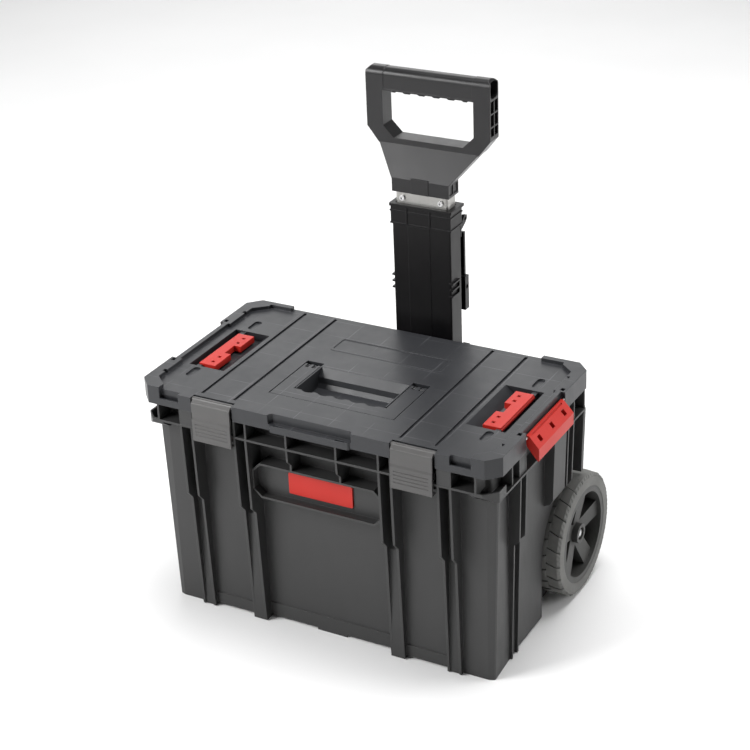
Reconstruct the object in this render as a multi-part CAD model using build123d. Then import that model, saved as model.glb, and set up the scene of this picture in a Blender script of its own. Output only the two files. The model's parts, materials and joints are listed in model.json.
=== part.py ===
from build123d import *
import math
import os

# Rolling tool box: a tapered, ribbed plastic tub with a hinged lid, two front
# latches, a fold-up carry handle, two top locks, two side catches, two wheels
# on a steel axle and a two-stage pull handle at the back.
# Millimetres, +Z up, front of the box towards -Y, Z = 0 is the floor.

os.makedirs("parts", exist_ok=True)

# ---- driving dimensions: lid ----
LID_X = 263.0          # half width
LID_Y = 146.55         # half depth
LID_Z0 = 312.0         # lower edge of the skirt
DECK_Z = 333.5         # top of the deck
RIDGE_Z = 338.5        # top of the raised end ridges
LID_WALL = 3.0
DECK_T = 4.5
CORNER_X = 16.8        # corner chamfer along X
CORNER_Y = 17.4        # corner chamfer along Y
HINGE_Y = 147.5
HINGE_Z = 314.0

# ---- driving dimensions: tub ----
TUB_X = 241.0          # half width of the side walls
FRONT_Y = -121.0       # front wall, outside
BAY_Y = -114.5         # set-back middle bay, outside
REAR_Y = 143.0         # rear wall, outside
STEP_Y = 112.0         # rear wall below the axle step
STEP_Z = 104.0
WALL = 3.0
FLOOR_Z = 1.0
RIB_Z = -1.4           # bottom of the ribs
FOOT_Z = -2.4          # bottom of the feet
LIFT = -FOOT_Z         # every piece is raised by this, so the feet stand at z = 0
POST_LOW = 244.0       # half width over the corner posts at the floor
POST_HIGH = 250.5      # and under the rim flange
RIM_Z = 315.0
FLANGE_Z = 286.5       # front rim flange, underside
SIDE_FLANGE_Z = 274.0  # side rim flange, underside
FLANGE_T = 3.0
SHOULDER_Z = 183.0     # where the ribs step back
FIN_T = 3.3

# ---- driving dimensions: wheels ----
AXLE_Y = 130.0
WHEEL_R = 88.2
AXLE_Z = WHEEL_R - LIFT
AXLE_R = 6.0
AXLE_END = 250.6       # shoulder the nut tightens against
THREAD_R = 4.0
WHEEL_IN = 225.0
WHEEL_OUT = 262.5
ARCH_R = 94.0
POCKET_X = 222.0

# ---- driving dimensions: pull handle ----
SLEEVE_X = 44.3
SLEEVE_Y0 = 173.0
SLEEVE_Y1 = 204.5
SLEEVE_Z0 = 180.0
SLEEVE_Z1 = 508.0
SLEEVE_WALL = 2.6
TUBE_X = 40.0
TUBE_Y0 = 176.6
TUBE_Y1 = 200.9
TUBE_Z0 = 192.0
TUBE_Z1 = 544.0
TUBE_WALL = 2.0
GRIP_X = 92.5
GRIP_Y0 = 200.0
GRIP_Y1 = 226.0
GRIP_Z1 = 689.5


def block(x0, x1, y0, y1, z0, z1):
    size = Box(x1 - x0, y1 - y0, z1 - z0)
    return Pos((x0 + x1) / 2, (y0 + y1) / 2, (z0 + z1) / 2) * size


def prism_x(points, x0, x1):
    """Polygon of (y, z) points extruded from x0 to x1."""
    wire = Polyline(*[(x0, y, z) for y, z in points], close=True)
    return extrude(make_face(wire), amount=x1 - x0, dir=(1, 0, 0))


def prism_y(points, y0, y1):
    """Polygon of (x, z) points extruded from y0 to y1."""
    wire = Polyline(*[(x, y0, z) for x, z in points], close=True)
    return extrude(make_face(wire), amount=y1 - y0, dir=(0, 1, 0))


def prism_z(points, z0, z1):
    """Polygon of (x, y) points extruded from z0 to z1."""
    wire = Polyline(*[(x, y, z0) for x, y in points], close=True)
    return extrude(make_face(wire), amount=z1 - z0, dir=(0, 0, 1))


def rod_x(x0, x1, y, z, r):
    return Pos((x0 + x1) / 2, y, z) * (Rot(0, 90, 0) * Cylinder(r, x1 - x0))


def rod_y(y0, y1, x, z, r):
    return Pos(x, (y0 + y1) / 2, z) * (Rot(90, 0, 0) * Cylinder(r, y1 - y0))


def rod_z(z0, z1, x, y, r):
    return Pos(x, y, (z0 + z1) / 2) * Cylinder(r, z1 - z0)


def octagon(hx, hy, cx, cy):
    """Rectangle of half sizes hx, hy with corners chamfered by cx, cy."""
    return [(-hx + cx, -hy), (hx - cx, -hy), (hx, -hy + cy), (hx, hy - cy),
            (hx - cx, hy), (-hx + cx, hy), (-hx, hy - cy), (-hx, -hy + cy)]


def mirrored(shape):
    return mirror(shape, about=Plane.YZ)


def save(shape, name):
    if shape.children:
        shape = Compound(children=[Pos(0, 0, LIFT) * child for child in shape.children])
    else:
        shape = Pos(0, 0, LIFT) * shape
    shape.label = name
    export_step(shape, "parts/" + name + ".step")


def group(shapes):
    return Compound(children=list(shapes))


# =====================================================================
# Tub
# =====================================================================
tub = block(-TUB_X, TUB_X, FRONT_Y, REAR_Y, FLOOR_Z, RIM_Z)
tub = tub.fillet(11.0, tub.edges().filter_by(Axis.Z).group_by(Axis.Y)[0])



def corner_post(inset, low, high):
    """Bulging front corner: a shallow facet in front, a side that runs back to the wall."""
    faces = []
    for z in (low, high):
        share = (z - FOOT_Z) / (SIDE_FLANGE_Z - FOOT_Z)
        out = POST_LOW + share * (POST_HIGH - POST_LOW) - inset
        front = FRONT_Y + inset
        outline = Polyline((200.0, front), (236.0 - inset / 2, front),
                           (out - 1.0, front + 2.6), (out, front + 5.0),
                           (TUB_X - inset, -67.0), (TUB_X - 18.0, -67.0),
                           (200.0, -100.0), close=True)
        faces.append(Pos(0, 0, z) * make_face(outline))
    return loft(faces, ruled=True)


post = corner_post(0, FOOT_Z, SIDE_FLANGE_Z + 1)
tub += post
tub += mirrored(post)

# set-back middle bay, and the stepped-in lower rear wall for the axle
tub -= block(-96.5, 96.5, FRONT_Y - 1, BAY_Y, -1, FLANGE_Z)
tub -= block(-300, 300, STEP_Y, REAR_Y + 10, -1, STEP_Z)

# wheel arches
arch = rod_x(POCKET_X, TUB_X + 20, AXLE_Y, AXLE_Z, ARCH_R)
arch += block(POCKET_X, TUB_X + 20, AXLE_Y - ARCH_R, REAR_Y + 20, -1, AXLE_Z)

# the hollow inside, kept clear of the arches, the bay and the axle step
cavity = block(-TUB_X + WALL, TUB_X - WALL, FRONT_Y + WALL, REAR_Y - WALL,
               FLOOR_Z + WALL, RIM_Z + 5)
post_inside = corner_post(WALL, FLOOR_Z + WALL, SIDE_FLANGE_Z - 2)
cavity += post_inside
cavity += mirrored(post_inside)
cavity -= block(-96.5 - WALL, 96.5 + WALL, FRONT_Y, BAY_Y + WALL, 0, FLANGE_Z + WALL)
cavity -= block(-300, 300, STEP_Y - WALL, REAR_Y, 0, STEP_Z + WALL)
arch_skin = rod_x(POCKET_X - WALL, TUB_X + 20, AXLE_Y, AXLE_Z, ARCH_R + WALL)
arch_skin += block(POCKET_X - WALL, TUB_X + 20, AXLE_Y - ARCH_R - WALL, REAR_Y,
                   -1, AXLE_Z)
cavity -= arch_skin
cavity -= mirrored(arch_skin)
tub -= cavity
tub -= arch
tub -= mirrored(arch)

# front ribs: deep above the shoulder, stepped back below it
FRONT_TOP = -146.0
FRONT_MID = -143.0
FRONT_STEP = -134.5
FRONT_FOOT = -128.0
front_rib = [(FRONT_Y + 1, RIB_Z), (FRONT_FOOT, RIB_Z), (FRONT_STEP, SHOULDER_Z - 10),
             (FRONT_MID, SHOULDER_Z), (FRONT_TOP, FLANGE_Z + 1),
             (FRONT_Y + 1, FLANGE_Z + 1)]
bay_rib = [(BAY_Y + 1, RIB_Z)] + front_rib[1:5] + [(BAY_Y + 1, FLANGE_Z + 1)]
ribs = []
for sign in (-1, 1):
    for low, high in ((96.5, 96.5 + FIN_T), (113.7, 113.7 + FIN_T)):
        ends = sorted((sign * low, sign * high))
        ribs.append(prism_x(bay_rib, ends[0], ends[1]))
    for low, high in ((179.8, 179.8 + FIN_T), (196.9, 196.9 + FIN_T)):
        ends = sorted((sign * low, sign * high))
        ribs.append(prism_x(front_rib, ends[0], ends[1]))

# the fill between each pair of front ribs, below the shoulder
inner_fill = [(FRONT_Y + 1, RIB_Z), (FRONT_FOOT, RIB_Z), (-129.5, 45), (-127.5, 165),
              (FRONT_Y + 1, 178)]
outer_fill = [(FRONT_Y + 1, RIB_Z), (-126.4, RIB_Z), (-123.2, 165), (FRONT_Y + 1, 178)]
for sign in (-1, 1):
    ends = sorted((sign * 97.5, sign * 116.0))
    ribs.append(prism_x(inner_fill, ends[0], ends[1]))
    ends = sorted((sign * 180.5, sign * 199.5))
    ribs.append(prism_x(outer_fill, ends[0], ends[1]))

# shallow proud strip along the foot of each front bay and the middle foot
ribs.append(block(-97.0, 97.0, BAY_Y - 1.4, BAY_Y + 1, FLOOR_Z, 22.0))
ribs.append(block(-23.0, 23.0, BAY_Y - 1.4, BAY_Y + 1, FOOT_Z, 6.0))
# round foot under the middle of the floor, level with the other feet
ribs.append(rod_z(FOOT_Z, FLOOR_Z + 1.0, 0, 0, 14.0))
for sign in (-1, 1):
    ends = sorted((sign * 116.5, sign * 180.5))
    ribs.append(block(ends[0], ends[1], FRONT_Y - 1.4, FRONT_Y + 1, FLOOR_Z, 18.5))

# front rim flange with its cross ribs, and the solid latch keepers
FLANGE_Y = -146.0
RIB_TOP = LID_Z0 - 0.5
ribs.append(block(-228.0, 228.0, FLANGE_Y, FRONT_Y + 1, FLANGE_Z, FLANGE_Z + FLANGE_T))
ribs.append(block(-98.0, 98.0, FLANGE_Y, BAY_Y + 1, FLANGE_Z, FLANGE_Z + FLANGE_T))
for sign in (-1, 1):
    for low in (35.3, 96.5, 113.7, 179.8, 196.9, 231.5):
        ends = sorted((sign * low, sign * (low + 2.8)))
        ribs.append(block(ends[0], ends[1], FLANGE_Y + 0.4, FRONT_Y + 1,
                          FLANGE_Z, RIB_TOP))
    ends = sorted((sign * 182.0, sign * 199.0))
    ribs.append(block(ends[0], ends[1], FLANGE_Y + 0.4, FRONT_Y + 1,
                      FLANGE_Z, RIB_TOP))
    ends = sorted((sign * 119.0, sign * 175.0))
    ribs.append(prism_x([(FRONT_Y + 1, 262), (-134, 276), (-143.4, 280),
                         (-143.4, 294), (-138, 300), (FRONT_Y + 1, 300)],
                        ends[0], ends[1]))

# side ribs, side flange and corner gussets
side_rib = [(TUB_X - 1, RIB_Z), (244.5, RIB_Z), (248.5, SHOULDER_Z - 8),
            (256.0, SHOULDER_Z), (258.0, SIDE_FLANGE_Z + 1),
            (TUB_X - 1, SIDE_FLANGE_Z + 1)]
side_parts = []
for low in (-68.0, -50.5):
    side_parts.append(prism_y(side_rib, low, low + FIN_T))
side_parts.append(block(TUB_X - 1, 258.0, -128.0, 140.0,
                        SIDE_FLANGE_Z, SIDE_FLANGE_Z + FLANGE_T))
for low in (-90.0, -68.0, -50.2, 62.0, 86.0, 103.0, 137.5):
    side_parts.append(block(TUB_X - 1, 256.5, low, low + 3.0,
                            SIDE_FLANGE_Z, RIB_TOP))
side_parts.append(block(TUB_X - 1, 256.0, -67.0, -48.0, SIDE_FLANGE_Z, RIB_TOP))
# boxed pilaster and the two plain ribs ahead of the rear corner
box_rib = [(TUB_X - 1, 172.0), (250.0, 177.0), (254.0, 184.0), (256.5, SIDE_FLANGE_Z + 1),
           (TUB_X - 1, SIDE_FLANGE_Z + 1)]
side_parts.append(prism_y(box_rib, 42.0, 80.0))
side_parts.append(prism_y(box_rib, 86.0, 89.0))
side_parts.append(prism_y(box_rib, 103.0, 106.0))
side_parts.append(prism_y([(TUB_X - 1, 170.0), (254.0, 176.0), (257.0, SIDE_FLANGE_Z + 1),
                           (TUB_X - 1, SIDE_FLANGE_Z + 1)], 136.0, REAR_Y))
# chamfered gusset under each front corner of the rim
gusset = prism_z([(226.0, FRONT_Y + 4), (226.0, FLANGE_Y), (243.0, FLANGE_Y),
                  (258.0, -129.5), (258.0, -110.0), (238.0, -110.0)],
                 SIDE_FLANGE_Z, FLANGE_Z + FLANGE_T)
gusset -= prism_x([(-160, FLANGE_Z + 9), (-160, 270), (-147, 270), (-118, 263)],
                  200, 300)
gusset_cut = prism_z([(229.0, FRONT_Y + 2), (229.0, FLANGE_Y + 2.6),
                      (241.5, FLANGE_Y + 2.6), (255.4, -130.5), (255.4, -107.0),
                      (236.0, -107.0)], SIDE_FLANGE_Z + 3, FLANGE_Z + 10)
gusset -= gusset_cut
side_parts.append(gusset)
for part in side_parts:
    part = part - arch
    ribs.append(part)
    ribs.append(mirrored(part))

# badge frame on the middle bay: a six-sided ledge around a raised panel
FRAME_Y = -137.0
hexagon = [(-98.0, 240.0), (-85.0, 252.4), (85.0, 252.4), (98.0, 240.0),
           (98.0, 212.0), (85.0, 200.2), (-85.0, 200.2), (-98.0, 212.0)]
hex_in = [(-95.0, 238.6), (-83.8, 249.6), (83.8, 249.6), (95.0, 238.6),
          (95.0, 213.4), (83.8, 203.0), (-83.8, 203.0), (-95.0, 213.4)]
frame = prism_y(hexagon, FRAME_Y, BAY_Y + 1)
frame -= prism_y(hex_in, FRAME_Y - 1, -124.5)
frame -= block(-48.6, 48.6, FRAME_Y - 1, -123.5, 210.4, 243.4)
ribs.append(frame)
joggle = [(BAY_Y + 1, 250.0), (FRAME_Y, 250.0), (FRAME_Y, 261.0), (-144.5, 269.0),
          (-145.6, FLANGE_Z + 1), (BAY_Y + 1, FLANGE_Z + 1)]
ribs.append(prism_x(joggle, -38.1, -35.3))
ribs.append(prism_x(joggle, 35.3, 38.1))

# rear: flange, axle brackets, hinge knuckles and the pads the handle rail bolts to
ribs.append(block(-255.0, 255.0, REAR_Y - 1, 145.5, SIDE_FLANGE_Z, SIDE_FLANGE_Z + FLANGE_T))
bracket = prism_x([(STEP_Y - 1, 40), (AXLE_Y + 9, 72), (AXLE_Y + 13, 84),
                   (AXLE_Y + 13, STEP_Z + 1), (STEP_Y - 1, STEP_Z + 1)], 0, 5.0)
for low in (-216.0, -150.0, -80.0, 75.0, 145.0, 211.0):
    ribs.append(Pos(low, 0, 0) * bracket)
knuckle = rod_x(0, 16.0, HINGE_Y, HINGE_Z, 4.6)
knuckle += prism_x([(REAR_Y - 1, 296), (HINGE_Y + 1.5, 305), (HINGE_Y + 4.4, HINGE_Z),
                    (HINGE_Y - 4.5, HINGE_Z), (REAR_Y - 1, RIM_Z - 2)], 0, 16.0)
for centre in (-190.0, -110.0, 110.0, 190.0):
    ribs.append(Pos(centre - 8.0, 0, 0) * knuckle)
for low in (-58.0, 52.0):
    for base in (30.0, 150.0, 252.0):
        pad_y = STEP_Y if base < 100 else REAR_Y
        ribs.append(block(low, low + 6.0, pad_y - 1, 147.9, base, base + 10.0))

for rib in ribs:
    tub += rib

# the bore for the axle and the hinge pins
tub -= rod_x(-300, 300, AXLE_Y, AXLE_Z, AXLE_R + 0.05)
for centre in (-190.0, -110.0, 110.0, 190.0):
    tub -= rod_x(centre - 30, centre + 30, HINGE_Y, HINGE_Z, 2.05)
save(tub, "tub")

# badge plate, blank, set in its pocket
badge = block(-47.6, 47.6, -126.6, -123.55, 211.2, 242.6)
badge = badge.fillet(2.0, badge.edges().filter_by(Axis.Y))
save(badge, "badge_plate")

# =====================================================================
# Axle, washers and nuts
# =====================================================================
axle = rod_x(-AXLE_END, AXLE_END, AXLE_Y, AXLE_Z, AXLE_R)
axle += rod_x(-AXLE_END - 6.2, AXLE_END + 6.2, AXLE_Y, AXLE_Z, THREAD_R)
save(axle, "axle")

washer = rod_x(0, 1.6, AXLE_Y, AXLE_Z, 13.0) - rod_x(-1, 3, AXLE_Y, AXLE_Z, AXLE_R + 0.1)
save(group([Pos(222.4, 0, 0) * washer, Pos(-224.0, 0, 0) * washer]), "axle_washers")

nut_hex = [(AXLE_Y + 7.6 * math.cos(math.radians(a)),
            AXLE_Z + 7.6 * math.sin(math.radians(a))) for a in range(0, 360, 60)]
nut = prism_x(nut_hex, 0, 4.6) + rod_x(0, 1.0, AXLE_Y, AXLE_Z, 8.4)
nut -= rod_x(-1, 6, AXLE_Y, AXLE_Z, THREAD_R + 0.05)
nut_at = AXLE_END + 0.05
save(group([Pos(nut_at, 0, 0) * nut, mirrored(Pos(nut_at, 0, 0) * nut)]), "axle_nuts")

# =====================================================================
# Wheels: rim with spokes, tyre, bush
# =====================================================================
HUB_R = 14.0
HUB_FACE = WHEEL_OUT - 4.5
BUSH_R = 9.0
RIM_R = 69.0
DISH_R = 60.5
SPOKES = 5


def wheel_rim():
    """Rim with a flat face ring, a deep dish and five sloped flat spokes."""
    body = rod_x(WHEEL_IN + 2, WHEEL_OUT - 0.5, AXLE_Y, AXLE_Z, RIM_R)
    body -= rod_x(WHEEL_IN + 6, WHEEL_OUT, AXLE_Y, AXLE_Z, DISH_R)
    body -= rod_x(WHEEL_IN, WHEEL_IN + 14, AXLE_Y, AXLE_Z, DISH_R - 6.0)
    body += rod_x(WHEEL_IN + 6, WHEEL_IN + 9, AXLE_Y, AXLE_Z, DISH_R + 1.0)
    body += rod_x(WHEEL_IN + 1.0, HUB_FACE, AXLE_Y, AXLE_Z, HUB_R)
    for k in range(SPOKES):
        angle = 10.0 + k * 360.0 / SPOKES
        face_in = HUB_FACE - 9.0
        face_out = WHEEL_OUT - 6.0
        slab = prism_y([(WHEEL_IN + 7, 10.0), (face_in, 10.0), (face_out, DISH_R + 1.5),
                        (WHEEL_IN + 7, DISH_R + 1.5)], -60, 60)
        slab &= prism_x([(-10.0, 0.0), (-13.5, 70.0), (13.5, 70.0), (10.0, 0.0)],
                        WHEEL_IN, WHEEL_OUT)
        body += Pos(0, AXLE_Y, AXLE_Z) * (Rot(angle - 90.0, 0, 0) * slab)
        # the back of each spoke is hollowed from the inner side
        pocket = block(WHEEL_IN - 1, WHEEL_OUT - 20.0, -8.0, 8.0, 20.0, DISH_R - 6.0)
        body -= Pos(0, AXLE_Y, AXLE_Z) * (Rot(angle - 90.0, 0, 0) * pocket)
    # recessed nut seat, then the bore for the bush
    body -= rod_x(HUB_FACE - 7.0, HUB_FACE + 1, AXLE_Y, AXLE_Z, BUSH_R)
    body -= rod_x(WHEEL_IN - 1, WHEEL_OUT, AXLE_Y, AXLE_Z, BUSH_R)
    return body


def wheel_tyre():
    half = (WHEEL_OUT - WHEEL_IN) / 2
    mid = (WHEEL_OUT + WHEEL_IN) / 2
    side = WHEEL_R - 3.5
    edge = WHEEL_R - 1.2
    profile = [(mid - half, RIM_R), (mid - half, side), (mid - half + 2.5, edge),
               (mid - 9, WHEEL_R), (mid + 9, WHEEL_R), (mid + half - 2.5, edge),
               (mid + half, side), (mid + half, RIM_R)]
    wire = Polyline(*[(x, AXLE_Y, AXLE_Z + r) for x, r in profile], close=True)
    ring = revolve(make_face(wire), axis=Axis((0, AXLE_Y, AXLE_Z), (1, 0, 0)))
    return ring


rim = wheel_rim()
tyre = wheel_tyre()
bush = rod_x(WHEEL_IN - 0.8, AXLE_END - 0.2, AXLE_Y, AXLE_Z, BUSH_R)
bush -= rod_x(WHEEL_IN - 5, WHEEL_OUT, AXLE_Y, AXLE_Z, AXLE_R + 0.05)
save(rim, "wheel_rim_right")
save(tyre, "wheel_tyre_right")
save(bush, "wheel_bush_right")
save(mirrored(rim), "wheel_rim_left")
save(mirrored(tyre), "wheel_tyre_left")
save(mirrored(bush), "wheel_bush_left")

# =====================================================================
# Lid
# =====================================================================
outline = octagon(LID_X, LID_Y, CORNER_X, CORNER_Y)
shell = prism_z(outline, LID_Z0, DECK_Z)

# raised ridges at both ends, with returns along the back and the front corner
ridge = prism_z(outline, DECK_Z - 0.5, RIDGE_Z)
keep = block(246.5, LID_X + 1, -LID_Y - 1, LID_Y + 1, DECK_Z - 1, RIDGE_Z + 1)
keep += block(227.5, LID_X, 132.0, LID_Y + 1, DECK_Z - 1, RIDGE_Z + 1)
keep += block(194.0, 228.0, 138.0, LID_Y + 1, DECK_Z - 1, RIDGE_Z + 1)
keep += block(227.5, LID_X, -LID_Y - 1, -135.5, DECK_Z - 1, RIDGE_Z + 1)
keep += prism_z([(227.5, -136), (247, -136), (247, -118)], DECK_Z - 1, RIDGE_Z + 1)
keep += prism_z([(227.5, 133), (247, 133), (247, 116)], DECK_Z - 1, RIDGE_Z + 1)
keep -= block(246.0, 251.0, 97.5, 103.5, DECK_Z, RIDGE_Z + 2)
keep -= block(246.0, 251.0, -103.5, -97.5, DECK_Z, RIDGE_Z + 2)
keep -= block(246.0, 250.0, -62.0, 59.0, DECK_Z, RIDGE_Z + 2)
keep += mirrored(keep)
shell += ridge & keep

# hollow underside, kept solid around every pocket
LATCH_X0 = 115.5
LATCH_X1 = 178.5
LOCK_X0 = 180.0
LOCK_X1 = 235.0
LOCK_Y0 = -62.4
LOCK_Y1 = 56.0
CATCH_Y0 = -62.0
CATCH_Y1 = 59.0
CATCH_X = 256.8
PAN_X = 66.0
hollow = prism_z(octagon(LID_X - LID_WALL, LID_Y - LID_WALL, 16.0, 16.6),
                 LID_Z0 - 1, DECK_Z - DECK_T)
hollow -= block(-95.5, 95.5, -93.5, 14.5, 322.0, DECK_Z)
hollow -= block(-64.0, 64.0, -LID_Y, -137.0, LID_Z0 - 1, DECK_Z)
solid = block(LATCH_X0 - 3, LATCH_X1 + 3, -LID_Y, -133.5, LID_Z0 - 1, DECK_Z)
solid += block(195.0, 231.0, -LID_Y, -137.0, LID_Z0 - 1, DECK_Z)
solid += block(LOCK_X0 - 2.5, LOCK_X1 + 2.5, LOCK_Y0 - 2.5, LOCK_Y1 + 2.5, 319.5, DECK_Z)
solid += block(CATCH_X - 3, LID_X, CATCH_Y0 - 3.4, CATCH_Y1 + 3.4, LID_Z0 - 1, DECK_Z)
hollow -= solid
hollow -= mirrored(solid)
shell -= hollow

# seal channel round the underside, above the tub's rim
channel = block(-244.5, 244.5, -124.5, 146.0, 316.0, DECK_Z - 2)
channel -= block(-234.5, 234.5, -114.5, 136.0, 315.0, DECK_Z)
shell += channel
groove = block(-242.4, 242.4, -122.4, 142.8, 315.0, 319.1)
groove -= block(-236.6, 236.6, -116.6, 138.1, 314.0, 320.0)
shell -= groove

# carry handle recess: a shallow tray for the handle and a deep finger pan
TRAY_Z = 324.5
PAN_Z = 309.0
shell += block(-PAN_X - 2.5, PAN_X + 2.5, -75.5, -1.5, PAN_Z - 2.5, DECK_Z - 1)
tray = block(-93.0, 93.0, -91.0, -64.0, TRAY_Z, DECK_Z + 1)
tray += block(67.5, 93.0, -91.0, 12.0, TRAY_Z, DECK_Z + 1)
tray += block(-93.0, -67.5, -91.0, 12.0, TRAY_Z, DECK_Z + 1)
pan = prism_x([(-73, PAN_Z), (-12, PAN_Z), (-8, PAN_Z + 6), (-6, 322.5), (4, DECK_Z + 1),
               (-64, DECK_Z + 1), (-73, TRAY_Z + 1)], -PAN_X, PAN_X)
shell -= tray
shell -= pan

# four long grooves in the deck
for centre in (-171.4, -122.0, 122.0, 171.4):
    shell -= block(centre - 2.2, centre + 2.2, -128.5, 141.0, DECK_Z - 2.6, DECK_Z + 1)

# blank raised panel behind the handle
panel = block(-84.0, 86.0, 53.0, 93.0, DECK_Z - 1, DECK_Z + 0.4)
panel = panel.fillet(6.0, panel.edges().filter_by(Axis.Z))
shell += panel
panel_in = block(-80.5, 82.5, 56.5, 89.5, DECK_Z - 0.4, DECK_Z + 2)
shell -= panel_in.fillet(4.0, panel_in.edges().filter_by(Axis.Z))

# front scoop with its projecting lip
shell -= prism_z([(-61, -160), (-61, -144), (-57, -140), (57, -140), (61, -144),
                  (61, -160)], 320.5, DECK_Z + 1)
shell += prism_z([(-58.5, -146), (-58.5, -147.5), (-56.5, -149.2), (56.5, -149.2),
                  (58.5, -147.5), (58.5, -146)], LID_Z0 - 1.5, 320.5)
for low in (-52.0, 38.0):
    shell -= block(low, low + 14.0, -148.2, -145.6, 317.5, 321.5)

for sign in (-1, 1):
    # latch pocket, front corner slot
    ends = sorted((sign * LATCH_X0, sign * LATCH_X1))
    shell -= block(ends[0], ends[1], -LID_Y - 5, -136.5, LID_Z0 - 5, DECK_Z + 8)
    ends = sorted((sign * 198.5, sign * 228.0))
    shell -= block(ends[0], ends[1], -LID_Y - 5, -140.5, 321.5, DECK_Z + 8)
    shell -= block(ends[0], ends[1], -143.5, -140.0, 316.5, 325.0)

for sign in (-1, 1):
    for low, high in ((74.4, 76.8), (84.4, 86.8)):
        ends = sorted((sign * low, sign * high))
        shell += rod_x(ends[0], ends[1], 3.5, 329.1, 3.4)
        shell += block(ends[0], ends[1], 0.6, 6.4, TRAY_Z - 1, 329.1)

SLOT_Z = DECK_Z - 2.4
for flip in (False, True):
    cut = block(LOCK_X0, LOCK_X1, LOCK_Y0, LOCK_Y1, 322.0, DECK_Z + 1)
    # the inner side of the recess is one wide slope
    cut -= prism_y([(LOCK_X0 - 1, 321.0), (LOCK_X0 - 1, DECK_Z + 0.7), (LOCK_X0, DECK_Z),
                    (196.0, 322.0), (196.0, 321.0)], LOCK_Y0 - 1, LOCK_Y1 + 1)
    cut -= block(219.0, 226.0, LOCK_Y0 - 1, -54.8, 321.0, 331.6)
    cut -= block(219.0, 226.0, 46.8, LOCK_Y1 + 1, 321.0, 331.6)
    cut += block(CATCH_X, LID_X + 5, CATCH_Y0, CATCH_Y1, LID_Z0 - 5, RIDGE_Z + 5)
    cut += block(254.0, 259.5, 62.0, 69.0, 334.5, RIDGE_Z + 1)
    cut += block(254.0, 259.5, -71.0, -64.0, 334.5, RIDGE_Z + 1)
    # rounded slots in front of and behind each lock
    for mid in (77.5, -80.0):
        slot = block(212.0, 223.0, mid - 8, mid + 8, SLOT_Z, DECK_Z + 1)
        slot += rod_z(SLOT_Z, DECK_Z + 1, 217.5, mid - 8, 5.5)
        slot += rod_z(SLOT_Z, DECK_Z + 1, 217.5, mid + 8, 5.5)
        cut += slot
    shell -= mirrored(cut) if flip else cut

# lid knuckles on the rear hinge line, beside the tub's knuckles
lid_knuckle = rod_x(0, 9.0, HINGE_Y, HINGE_Z, 4.2)
lid_knuckle += prism_x([(145.5, 315.5), (HINGE_Y, HINGE_Z), (HINGE_Y + 4.2, HINGE_Z),
                        (HINGE_Y + 3.6, 317.0), (146.0, 325.0), (145.5, 325.0)], 0, 9.0)
for centre in (-190.0, -110.0, 110.0, 190.0):
    shell -= block(centre - 8.6, centre + 8.6, 141.8, 160.0, 309.0, 320.0)
    shell += Pos(centre - 17.8, 0, 0) * lid_knuckle
    shell += Pos(centre + 8.8, 0, 0) * lid_knuckle
    shell -= rod_x(centre - 30, centre + 30, HINGE_Y, HINGE_Z, 2.05)

# pin bores in the lid
LATCH_AY = -141.5
LATCH_AZ = 329.8
CARRY_AY = 3.5
CARRY_AZ = 329.1
LOCK_AX = 222.4
LOCK_AZ = 328.6
CATCH_AX = 260.8
CATCH_AZ = 328.4
PIN_R = 1.6
BORE_R = 1.65
for sign in (-1, 1):
    ends = sorted((sign * 111.9, sign * 182.1))
    shell -= rod_x(ends[0], ends[1], LATCH_AY, LATCH_AZ, BORE_R)
    ends = sorted((sign * 64.9, sign * 95.1))
    shell -= rod_x(ends[0], ends[1], CARRY_AY, CARRY_AZ, BORE_R)
    shell -= rod_y(-60.1, 53.1, sign * LOCK_AX, LOCK_AZ, BORE_R)
    shell -= rod_y(-65.0, 62.0, sign * CATCH_AX, CATCH_AZ, BORE_R)
save(shell, "lid_shell")

seal = block(-242.2, 242.2, -122.2, 142.6, 315.05, 319.0)
seal -= block(-236.8, 236.8, -116.8, 138.3, 314.0, 320.0)
save(seal, "lid_seal")

# ---- pins: identical pins share a node ----
save(group([rod_x(c - 17.5, c + 17.5, HINGE_Y, HINGE_Z, 2.0)
            for c in (-190.0, -110.0, 110.0, 190.0)]), "hinge_pins")
save(group([rod_x(s * 147.0 - 35.0, s * 147.0 + 35.0, LATCH_AY, LATCH_AZ, PIN_R)
            for s in (-1, 1)]), "latch_pins")
save(group([rod_x(s * 80.0 - 15.0, s * 80.0 + 15.0, CARRY_AY, CARRY_AZ, PIN_R)
            for s in (-1, 1)]), "carry_handle_pins")
save(group([rod_y(-60.0, 53.0, s * LOCK_AX, LOCK_AZ, PIN_R)
            for s in (-1, 1)]), "top_lock_pins")
save(group([rod_y(-64.9, 61.9, s * CATCH_AX, CATCH_AZ, PIN_R)
            for s in (-1, 1)]), "side_catch_pins")

# =====================================================================
# Front latches
# =====================================================================
latch_profile = [(-138.6, 331.6), (-140.0, 333.1), (-142.2, 333.2), (-149.2, 327.6),
                 (-149.8, 326.2), (-149.8, 306.5), (-150.8, 303.5), (-150.8, 273.0),
                 (-150.2, 272.2), (-141.5, 272.2), (-141.0, 275.0), (-143.5, 276.2),
                 (-147.6, 276.4), (-147.6, 302.5), (-146.9, 306.5), (-146.9, 325.0),
                 (-143.5, 326.8), (-139.2, 327.4)]
latch = prism_x(latch_profile, 117.8, 176.2)
latch = latch.fillet(1.2, latch.edges().filter_by(Axis.Y).group_by(Axis.Z)[0])
latch += rod_x(116.0, 178.0, LATCH_AY, LATCH_AZ, 3.3)
latch -= rod_x(110.0, 184.0, LATCH_AY, LATCH_AZ, BORE_R)
for k in range(4):
    z = 281.0 + 5.2 * k
    latch -= block(122.5, 171.5, -152.0, -150.1, z, z + 1.7)
save(latch, "latch_right")
save(mirrored(latch), "latch_left")

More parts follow.
